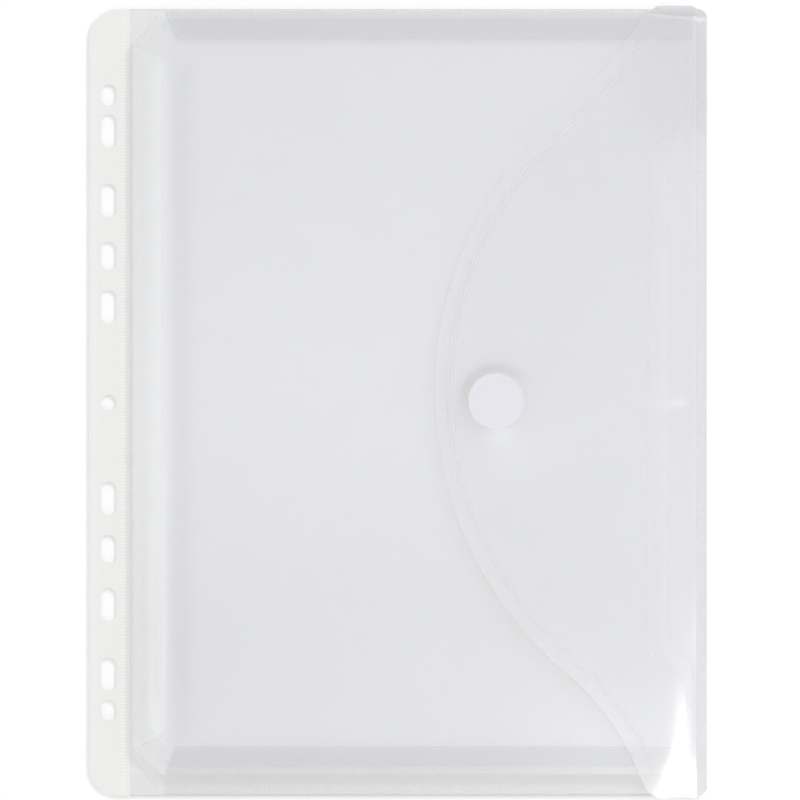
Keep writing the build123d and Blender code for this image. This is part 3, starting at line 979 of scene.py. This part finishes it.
def softbox(name, place, size, power, colour):
    """A rectangular lamp aimed at the middle of the wallet."""
    lamp = bpy.data.lights.new(name, "AREA")
    lamp.shape = "RECTANGLE"
    lamp.size, lamp.size_y = size
    lamp.energy = power
    lamp.color = colour
    box = bpy.data.objects.new(name, lamp)
    bpy.context.scene.collection.objects.link(box)
    box.location = place
    box.rotation_euler = (-box.location).to_track_quat("-Z", "Y").to_euler()
    return lamp


def seen_share(nodes, link):
    """1 for rays from the camera and for mirrored and refracted ones, 0 for the rest."""
    path, either, any_of_three = (nodes.new(f"ShaderNode{kind}") for kind in ("LightPath", "Math", "Math"))
    either.operation = any_of_three.operation = "MAXIMUM"
    link(path.outputs["Is Camera Ray"], either.inputs[0])
    link(path.outputs["Is Glossy Ray"], either.inputs[1])
    link(either.outputs[0], any_of_three.inputs[0])
    link(path.outputs["Is Transmission Ray"], any_of_three.inputs[1])
    return any_of_three.outputs[0]


def lay_floor():
    """A white sheet that takes the wallet's shadow, with a glow that is only seen, directly or mirrored."""
    corners = np.array([(-1, -1), (1, -1), (1, 1), (-1, 1)]) * FLOOR_HALF
    corners = np.column_stack([corners, np.full(len(corners), FLOOR_LEVEL)])
    floor = make_piece("floor", corners / MM, [[0, 1, 2, 3]], [0])
    paper = bpy.data.materials.new("floor_paper")
    paper.use_nodes = True
    nodes, link = paper.node_tree.nodes, paper.node_tree.links.new
    shader = nodes["Principled BSDF"]
    set_inputs(shader, {"Base Color": FLOOR_TONE, "Roughness": FLOOR_ROUGHNESS, "Specular IOR Level": 0.0})
    glow, both, level_up = (nodes.new(f"ShaderNode{kind}") for kind in ("Emission", "AddShader", "Math"))
    level_up.operation = "MULTIPLY"
    level_up.inputs[1].default_value = FLOOR_GLOW
    link(seen_share(nodes, link), level_up.inputs[0])
    link(level_up.outputs[0], glow.inputs["Strength"])
    link(shader.outputs[0], both.inputs[0])
    link(glow.outputs[0], both.inputs[1])
    link(both.outputs[0], nodes["Material Output"].inputs["Surface"])
    floor.data.materials.append(paper)


def raise_sky(scene):
    """An even sky that lights the wallet softly and is white where it is seen, directly or mirrored."""
    world = bpy.data.worlds.new("studio")
    world.use_nodes = True
    scene.world = world
    nodes, link = world.node_tree.nodes, world.node_tree.links.new
    mix = nodes.new("ShaderNodeMixShader")
    dim, white = nodes["Background"], nodes.new("ShaderNodeBackground")
    set_inputs(dim, {"Color": WHITE, "Strength": SKY_DIM})
    set_inputs(white, {"Color": WHITE})
    link(seen_share(nodes, link), mix.inputs["Fac"])
    link(dim.outputs[0], mix.inputs[1])
    link(white.outputs[0], mix.inputs[2])
    link(mix.outputs[0], nodes["World Output"].inputs["Surface"])


class WALLET_OT_stage(bpy.types.Operator):
    """Set the floor, the light and the camera"""

    bl_idname = "wallet.stage"
    bl_label = "Stage"

    def execute(self, context):
        scene = context.scene
        scene.view_settings.view_transform = "Standard"
        scene.cycles.transparent_max_bounces = CLEAR_LAYERS
        lay_floor()
        raise_sky(scene)
        softbox("lower_softbox", *LOWER_LAMP).use_shadow = False
        softbox("upper_key", *UPPER_LAMP)
        camera = bpy.data.cameras.new("camera")
        camera.lens = LENS
        camera.clip_end = FARTHEST
        eye = bpy.data.objects.new("camera", camera)
        scene.collection.objects.link(eye)
        eye.location = (EYE_X, EYE_Y, SEEN_WIDTH * camera.lens / camera.sensor_width)
        scene.camera = eye
        return {"FINISHED"}


class WALLET_PT_panel(bpy.types.Panel):
    """The wallet's steps and settings"""

    bl_idname = "WALLET_PT_panel"
    bl_label = "Wallet"
    bl_space_type = "VIEW_3D"
    bl_region_type = "UI"
    bl_category = "Wallet"

    def draw(self, context):
        for settings in (context.scene.wallet_looks, context.scene.wallet_sizes):
            for name in settings.__annotations__:
                self.layout.prop(settings, name)
        for step in STEPS:
            self.layout.operator(step.bl_idname)


STEPS = (
    WALLET_OT_solid_films,
    WALLET_OT_pocket_films,
    WALLET_OT_flap_film,
    WALLET_OT_pressed_lines,
    WALLET_OT_weld_marks,
    WALLET_OT_dots,
    WALLET_OT_stage,
)
CLASSES = (WalletLooks, WalletSizes, *STEPS, WALLET_PT_panel)


def register():
    for each in CLASSES:
        bpy.utils.register_class(each)
    bpy.types.Scene.wallet_looks = PointerProperty(type=WalletLooks)
    bpy.types.Scene.wallet_sizes = PointerProperty(type=WalletSizes)


def unregister():
    del bpy.types.Scene.wallet_looks
    del bpy.types.Scene.wallet_sizes
    for each in reversed(CLASSES):
        bpy.utils.unregister_class(each)


def main():
    register()
    bpy.ops.wallet.solid_films()
    bpy.ops.wallet.pocket_films()
    bpy.ops.wallet.flap_film()
    bpy.ops.wallet.pressed_lines()
    bpy.ops.wallet.weld_marks()
    bpy.ops.wallet.dots()
    bpy.ops.wallet.stage()
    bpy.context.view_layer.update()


if __name__ == "__main__":
    main()
